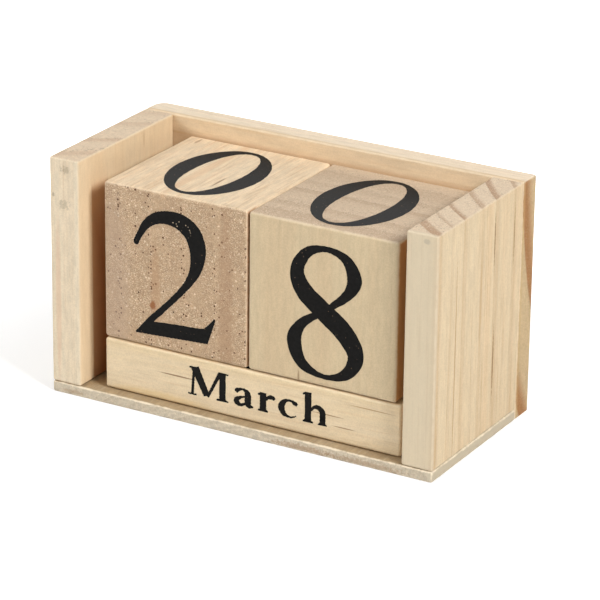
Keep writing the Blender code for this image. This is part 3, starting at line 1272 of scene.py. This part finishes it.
@dataclass(frozen=True)
class Tray:
    """The four glued boards of the tray."""

    body: str = "tray"
    slot: str = "tray_pine"
    edge: float = 0.45 * MM
    sanded_corner: float = 2.8 * MM
    glue_fill: float = 0.11 * MM

    def blocks(self) -> tuple[Block, ...]:
        """Each board with its own cut of the log."""
        fill = self.glue_fill
        side = {
            "body": self.body, "slot": self.slot, "edge": self.edge, "fill_low": (0.0, 0.0, fill),
            "fill_high": (0.0, fill, 0.0),
        }
        return (
            Block(
                "back_board",
                finish=WoodFinish(
                    "back board pine", Axis.X, pith=(0, 144.6, 66), long_colour=(243, 227, 203),
                    long_late=(220, 190, 150), long_tint=(240, 215, 186), end_colour=(202, 176, 136),
                    end_late=(162, 110, 62), ring_width=13.0, waviness=0.8, unevenness=0.0,
                    late_start=0.55, faintest=0.9, long_rings=0.25, end_rings=0.95, streaks=0.2,
                    lines=0.35, pores=0.15, flecks=0.1, grit=0.25,
                    marks=(
                        # Painted shade on the inside face of the back board: darker all over, deepest
                        # around the height of the cube tops
                        band((0, 16.5, 30), (60, 0.9, 30), (206, 172, 120), 0.35, 0.9),
                        band((0, 16.5, 48), (60, 0.9, 4.3), (176, 122, 66), 0.4, 0.5),
                    ),
                ),
                body=self.body, slot=self.slot, edge=self.edge, sanded_corner=self.sanded_corner,
                fill_low=(0.0, fill, 0.0),
            ),
            Block(
                "base_board",
                finish=WoodFinish(
                    "base board pine", Axis.Y, pith=(12, 0, -60), long_colour=(170, 150, 120),
                    long_late=(148, 126, 96), long_tint=(162, 140, 108), end_colour=(203, 190, 168),
                    end_late=(156, 136, 110), end_pale=(236, 228, 208), ring_width=1.3, waviness=2.4,
                    late_start=0.3, faintest=0.1, end_rings=0.35, streaks=0.1, lines=0.2, fine=0.2,
                    # Strong pale edges: rubbing, and a painted highlight that makes the top edge a bright
                    # line
                    tint=0.6, mottle=0.12, speckle=0.05, grit=0.35, pores=0.1, flecks=0.0, rubbed=0.85,
                    marks=(
                        Mark((-42, -22.5, 0.9), (3.4, 2, 0.6), (160, 128, 96), 0.4, 1.4),
                        Mark((16, -22.5, 0.8), (9, 2, 0.9), (150, 112, 76), 0.5, 2.6),
                        Mark((31, -22.5, 0.8), (12, 2, 0.8), (150, 112, 76), 0.4, 2.8),
                        Mark((47.5, 0, 1.2), (1.2, 40, 4), (208, 196, 172), 0.8, 0.2, 0.8, 1),
                        # Painted shade on the top of the base inside the tray
                        Mark((0, 4, 2.4), (40, 24, 0.6), (190, 160, 118), 0.5, 0.1, 0.93, 1),
                    ),
                ),
                body=self.body, slot=self.slot, edge=self.edge, fill_high=(0.0, fill, fill),
            ),
            Block(
                "left_side_board",
                finish=WoodFinish(
                    "left board pine", Axis.Z, pith=(7, -89, 0), long_colour=(229, 213, 186),
                    long_late=(208, 180, 142), long_tint=(226, 200, 168), end_colour=(226, 204, 176),
                    end_late=(192, 154, 122), ring_width=9.0, waviness=1.6, late_start=0.5,
                    long_rings=0.2, end_rings=0.55, streaks=0.12, lines=0.3, pores=0.35, pore_share=0.2,
                    marks=(
                        Mark((-45.6, -22.5, 22), (0.9, 3, 24), (222, 186, 154), 0.5, 0.6),
                        Mark((-43.4, -22.5, 52.6), (1.5, 1, 1.1), (140, 122, 96), 0.4, 2.6, 0.3),
                        Mark((-46.6, -22.5, 46.4), (0.4, 1, 0.6), (128, 116, 98), 0.5, 2),
                        Mark((-43.8, -22.5, 44.4), (1.5, 1, 1.6), (146, 132, 108), 0.4, 2.8, 0.3),
                        Mark((-40.1, 4, 52.6), (0.6, 0.35, 2.6), (156, 116, 74), 0.6, 0.3),
                        band((-39.6, 0, 30), (0.8, 40, 40), (236, 204, 158), 0.5, 0.7),
                        # Painted shade on the inside face, in the narrow gap beside the tens cube
                        band((-39.8, -14, 16), (1.2, 3.3, 32.5), (176, 98, 34), 0.5, 0.9),
                        band((-39.8, -9.5, 16), (1.2, 9, 32.5), (176, 98, 34), 0.6, 0.3),
                    ),
                ),
                **side,
            ),
            Block(
                "right_side_board",
                finish=WoodFinish(
                    "right board pine", Axis.Z, pith=(108, 61, 0), long_colour=(221, 200, 166),
                    long_late=(184, 144, 96), long_tint=(226, 196, 156), end_colour=(224, 202, 174),
                    end_late=(170, 132, 100), ring_width=5.2, waviness=0.8, unevenness=0.7,
                    late_start=0.66, faintest=0.5, long_rings=0.30, end_rings=0.85, streaks=0.16,
                    lines=0.34, fine=0.2, tint=0.7, mottle=0.05, grit=0.7, flecks=0.6,
                    marks=(
                        Mark((43.7, -22.5, 27), (8, 1.3, 60), (216, 202, 176), 0.65, 0.3),
                        Mark((44.9, -22.5, 53.4), (1, 1, 0.8), (150, 140, 124), 0.35),
                        Mark((47.5, 3.4, 46), (0.8, 0.30, 8), (138, 96, 48), 0.8, 1.1),
                        Mark((47.5, 4.2, 18), (0.8, 0.36, 10), (144, 102, 54), 0.8, 1.1),
                        Mark((47.5, 12.6, 44), (0.8, 0.30, 8), (150, 112, 62), 0.7, 1.3),
                        Mark((47.5, -13.6, 24), (0.8, 0.30, 30), (178, 134, 84), 0.6, 0.8),
                        Mark((47.5, -2.4, 34), (0.8, 0.5, 14), (196, 160, 116), 0.5, 0.8),
                    ),
                ),
                **side,
            ),
        )

    def build(self, effects: Effects) -> None:
        """Put the boards in the scene."""
        for block in self.blocks():
            block.build(effects)


@dataclass(frozen=True)
class MonthBars:
    """The three month bars, each with a month on all four long sides."""

    edge: float = 0.65 * MM
    slot: str = "bar_pine"
    film: float = 0.03 * MM
    baseline: float = -2.8
    marks: tuple[Mark, ...] = (
        Mark((-16.7, -19.8, 9.3), (6, 1.5, 0.22), (128, 86, 50), 0.8, 0.25),
        Mark((20.8, -19.8, 8.6), (5, 1.5, 0.18), (140, 96, 56), 0.7, 0.25),
        Mark((31.3, -19.8, 12.1), (7, 1.5, 0.18), (168, 128, 84), 0.7, 0.25),
        Mark((24.8, -19.8, 6.4), (3.5, 1.5, 0.18), (140, 96, 56), 0.7, 0.25),
        Mark((-21.2, -19.8, 3.2), (16, 2, 1.8), (224, 192, 134), 0.5, 0.5),
    )
    aside: float = 2.2

    def months(self) -> dict[str, tuple[str, ...]]:
        """The months of each bar in the order front, top, back, under."""
        return {
            "front": ("March", "April", "May", "June"),
            "middle": ("July", "August", "September", "October"),
            "rear": ("November", "December", "January", "February"),
        }

    def block(self, row: str) -> Block:
        """One bar, cut from another part of the log than its neighbours."""
        depth = {"front": 0.0, "middle": 17.0, "rear": 39.0}[row]
        return Block(
            f"month_bar_{row}", f"bar_{row}", self.slot,
            WoodFinish(
                f"{row} bar pine", Axis.X, pith=(0, -6 - depth, -58 - depth), long_colour=(226, 206, 173),
                long_late=(190, 150, 100), long_tint=(232, 206, 160), end_colour=(214, 190, 156),
                ring_width=2.4, waviness=2.6, late_start=0.86, faintest=0.0, long_rings=0.25,
                streaks=0.08, lines=0.16, fine=0.2, mottle=0.05, tilt=(0.0, 0.02, 0.0),
                marks=self.marks if row == "front" else (),
            ),
            edge=self.edge,
        )

    def build(self, effects: Effects) -> None:
        """Put the bars in the scene and print the months on them."""
        ink = InkFinish("month ink").material(effects)
        for row, months in self.months().items():
            block = self.block(row)
            block.build(effects)
            low, high = block.corners()
            for side, month in zip((Side.FRONT, Side.TOP, Side.BACK, Side.UNDER), months):
                lettering = Print.word(f"month_{month}", month, self.baseline, self.aside)
                mesh = lettering.mesh(low, high, side, self.film)
                new_piece(mesh, ink, block.body)


@dataclass(frozen=True)
class NumberCubes:
    """The two number cubes, each with a number on all six sides."""

    edge: float = 0.7 * MM
    film: float = 0.03 * MM

    def numbers(self) -> dict[str, dict[Side, str]]:
        """The number on each side: between them the cubes show every day of a month."""
        return {
            "tens": {
                Side.FRONT: "2", Side.TOP: "0", Side.RIGHT: "1", Side.LEFT: "3", Side.BACK: "4",
                Side.UNDER: "5",
            },
            "units": {
                Side.FRONT: "8", Side.TOP: "0", Side.RIGHT: "7", Side.LEFT: "6", Side.BACK: "1",
                Side.UNDER: "2",
            },
        }

    def blocks(self) -> dict[str, Block]:
        """Both cubes: the left one cut with its end grain to the front, the right one upright."""
        return {
            "tens": Block(
                "day_cube_tens", "cube_tens", "tens_cube_wood",
                WoodFinish(
                    "tens cube wood", Axis.Y, pith=(-271.1, 0, 30), long_colour=(238, 216, 184),
                    long_late=(212, 174, 132), long_tint=(232, 204, 170), end_colour=(192, 163, 131),
                    end_late=(142, 108, 80), end_pale=(242, 224, 194), ring_width=8.0, unevenness=0.15,
                    late_start=0.2, faintest=0.6, long_rings=0.2, end_rings=0.15, streaks=0.2, lines=0.45,
                    fine=0.6, grit=0.95, pores=0.95, pore_share=0.2, pore_cell=0.64, flecks=0.6,
                    rubbed=0.12, mottle=0.10,
                    marks=(
                        # Painted shade on the right side, in the gap between the cubes
                        band((1.4, -19.5, 30), (1, 4, 60), (160, 104, 56), 0.7, 0.6),
                        Mark((-4.6, -19.8, 28), (2.4, 3, 34), (164, 128, 98), 0.4, 1.1),
                        Mark((-33.5, -19.8, 26), (6, 3, 30), (182, 158, 138), 0.4, 0.9),
                        Mark((-22.2, -19.8, 28), (1.5, 3, 14), (184, 144, 108), 0.45, 0.9),
                        Mark((-22.9, -19.8, 24.5), (0.95, 2, 1.3), (146, 88, 50), 0.85, 0.8),
                        Mark((-13.8, -7.5, 50.8), (0.35, 4, 2), (138, 98, 62), 0.7, 0.3),
                        Mark((-31.8, 13.4, 50.8), (0.5, 2.2, 2), (160, 116, 74), 0.6, 0.4),
                        Mark((-20.3, 0, 50.8), (1.4, 30, 3), (224, 186, 146), 0.5, 0.5),
                    ),
                ),
                edge=self.edge,
            ),
            "units": Block(
                "day_cube_units", "cube_units", "units_cube_wood",
                WoodFinish(
                    "units cube wood", Axis.Z, pith=(12.8, -260, 0), long_colour=(211, 191, 156),
                    long_late=(192, 162, 122), long_tint=(208, 182, 146), end_colour=(208, 185, 158),
                    end_late=(172, 142, 114), ring_width=6.8, waviness=0.5, late_start=0.25,
                    long_rings=0.12, end_rings=0.55, streaks=0.10, lines=0.05, fine=0.08, mottle=0.05,
                    grit=0.7, pores=0.25,
                    marks=(
                        # Painted shade on both sides, in the gaps beside the cube
                        band((37.8, -19.5, 20), (1, 5, 60), (172, 112, 54), 0.9, 0.6),
                        band((0.4, -19.5, 30), (1, 4, 60), (160, 104, 56), 0.7, 0.6),
                        Mark((13.6, -19.8, 15.6), (0.3, 2, 2.2), (128, 92, 62), 0.6, 0.25),
                    ),
                ),
                edge=self.edge,
            ),
        }

    def build(self, effects: Effects) -> None:
        """Put the cubes in the scene and print the numbers on them."""
        plain = InkFinish("number ink").material(effects)
        chipped = InkFinish(
            "chipped number ink", 0.9, (-15.8, -19.8, 44.0), (3.4, 3.0, 3.0),
        ).material(effects)
        blocks = self.blocks()
        for which, sides in self.numbers().items():
            block = blocks[which]
            block.build(effects)
            low, high = block.corners()
            for side, digit in sides.items():
                lettering = Print.number(f"{which}_{side.name.lower()}_{digit}", digit)
                mesh = lettering.mesh(low, high, side, self.film)
                ink = chipped if (which, side) == ("tens", Side.FRONT) else plain
                new_piece(mesh, ink, block.body)


# Studio


def outward(azimuth: float, elevation: float) -> Vector:
    """The way out from the calendar at an azimuth from its front and an elevation, in degrees."""
    turn, rise = math.radians(azimuth), math.radians(elevation)
    return Vector((math.sin(turn) * math.cos(rise), -math.cos(turn) * math.cos(rise), math.sin(rise)))


@dataclass(frozen=True)
class Lamp:
    """A square soft light that faces the calendar."""

    name: str
    azimuth: float
    elevation: float
    distance: float
    size: float
    level: float

    def build(self, aim: Vector) -> None:
        """Hang the lamp so that a surface turned to it gains its level of light."""
        light = bpy.data.lights.new(self.name, "AREA")
        light.shape = "SQUARE"
        light.size = self.size
        light.energy = self.level * math.pi**2 * self.distance**2
        way = outward(self.azimuth, self.elevation)
        lamp = bpy.data.objects.new(self.name, light)
        bpy.context.scene.collection.objects.link(lamp)
        lamp.location = aim + way * self.distance
        lamp.rotation_euler = way.to_track_quat("Z", "Y").to_euler()


@dataclass(frozen=True)
class Studio:
    """A white floor under an even white sky, with soft lamps."""

    floor_side: float = 6.0
    floor_colour: float = 0.80
    floor_lift: float = 0.42
    far_lift: float = 0.6
    sky_level: float = 0.12
    aim_height: float = 0.03
    lamps: tuple[Lamp, ...] = (
        Lamp("key light", 70.0, 35.0, 1.3, 0.35, 0.78), Lamp("left light", -45.0, 29.0, 1.3, 0.70, 0.55),
        Lamp("top light", 10.0, 80.0, 1.3, 0.90, 0.13), Lamp("back light", 184.0, 8.0, 1.3, 0.60, 0.42),
    )

    def sky(self) -> None:
        """White for the camera and for reflections, and an even level of light for the rest."""
        world = bpy.data.worlds.new("white sky")
        world.use_nodes = True
        bpy.context.scene.world = world
        graph = Graph(world.node_tree)
        background = world.node_tree.nodes["Background"]
        background.inputs["Color"].default_value = (1.0, 1.0, 1.0, 1.0)
        path = graph.add("ShaderNodeLightPath").outputs
        seen = graph.math("MAXIMUM", path["Is Camera Ray"], path["Is Glossy Ray"])
        level = graph.plus(self.sky_level, graph.times(seen, 1.0 - self.sky_level))
        graph.feed(background.inputs["Strength"], level)

    def floor(self) -> None:
        """A matt white floor that keeps the shadow and is lifted to white further away."""
        half = self.floor_side / 2
        corners = ((-half, -half), (half, -half), (half, half), (-half, half))
        mesh = bpy.data.meshes.new("studio_floor")
        mesh.from_pydata([(x, y, -0.05 * MM) for x, y in corners], [], [(0, 1, 2, 3)])
        material = bpy.data.materials.new("studio floor")
        material.use_nodes = True
        graph = Graph(material.node_tree)
        shader = material.node_tree.nodes["Principled BSDF"]
        shader.inputs["Base Color"].default_value = (*[self.floor_colour] * 3, 1.0)
        shader.inputs["Roughness"].default_value = 0.9
        shader.inputs["Specular IOR Level"].default_value = 0.0
        shader.inputs["Emission Color"].default_value = (1.0, 1.0, 1.0, 1.0)
        seen = graph.add("ShaderNodeLightPath").outputs["Is Camera Ray"]
        spot = graph.add("ShaderNodeTexCoord").outputs["Object"]
        away = graph.vector("LENGTH", spot)["Value"]
        lift = graph.ramp(away, 0.055, 0.15, self.floor_lift, self.floor_lift + self.far_lift)
        graph.feed(shader.inputs["Emission Strength"], graph.times(seen, lift))
        mesh.materials.append(material)
        floor = bpy.data.objects.new("studio_floor", mesh)
        bpy.context.scene.collection.objects.link(floor)

    def build(self) -> None:
        """Set up the floor, the sky and the lamps, with colours shown as they are."""
        bpy.context.scene.view_settings.view_transform = "Standard"
        self.floor()
        self.sky()
        for lamp in self.lamps:
            lamp.build(Vector((0.0, 0.0, self.aim_height)))


@dataclass(frozen=True)
class CameraRig:
    """The photograph's camera: where it stands round the calendar and how it is framed."""

    azimuth: float = 29.708
    elevation: float = 21.525
    roll: float = 0.704
    distance: float = 729.17 * MM
    slide_right: float = 2.094 * MM
    slide_up: float = -3.391 * MM
    aim_height: float = 27.5 * MM
    focal_pixels: float = 3348.521
    frame_pixels: float = 600.0
    sensor_width: float = 36.0

    def build(self) -> None:
        """Place the camera.

        The view direction comes from azimuth and elevation, the picture's own right and up
        are turned by the roll, and the camera slides along them to frame the calendar.
        """
        back = outward(self.azimuth, self.elevation)
        level = (-back).cross(Vector((0.0, 0.0, 1.0))).normalized()
        over = level.cross(-back)
        roll = math.radians(self.roll)
        right = level * math.cos(roll) + over * math.sin(roll)
        up = over * math.cos(roll) - level * math.sin(roll)
        place = Vector((0.0, 0.0, self.aim_height)) + back * self.distance
        place += right * self.slide_right + up * self.slide_up
        data = bpy.data.cameras.new("photo camera")
        data.sensor_width = self.sensor_width
        data.lens = self.focal_pixels * self.sensor_width / self.frame_pixels
        data.clip_start = 0.01
        camera = bpy.data.objects.new("photo camera", data)
        bpy.context.scene.collection.objects.link(camera)
        turned = Matrix((right, up, back)).transposed().to_4x4()
        camera.matrix_world = Matrix.Translation(place) @ turned
        bpy.context.scene.camera = camera


def main() -> None:
    """Build the tray, the bars, the cubes, the studio and the camera in turn."""
    effects = Effects(GrowthRings(), Fibres(), Pores(), EdgeWearAndHighlight(), Spot())
    Tray().build(effects)
    MonthBars().build(effects)
    NumberCubes().build(effects)
    Studio().build()
    CameraRig().build()


if __name__ == "__main__":
    main()
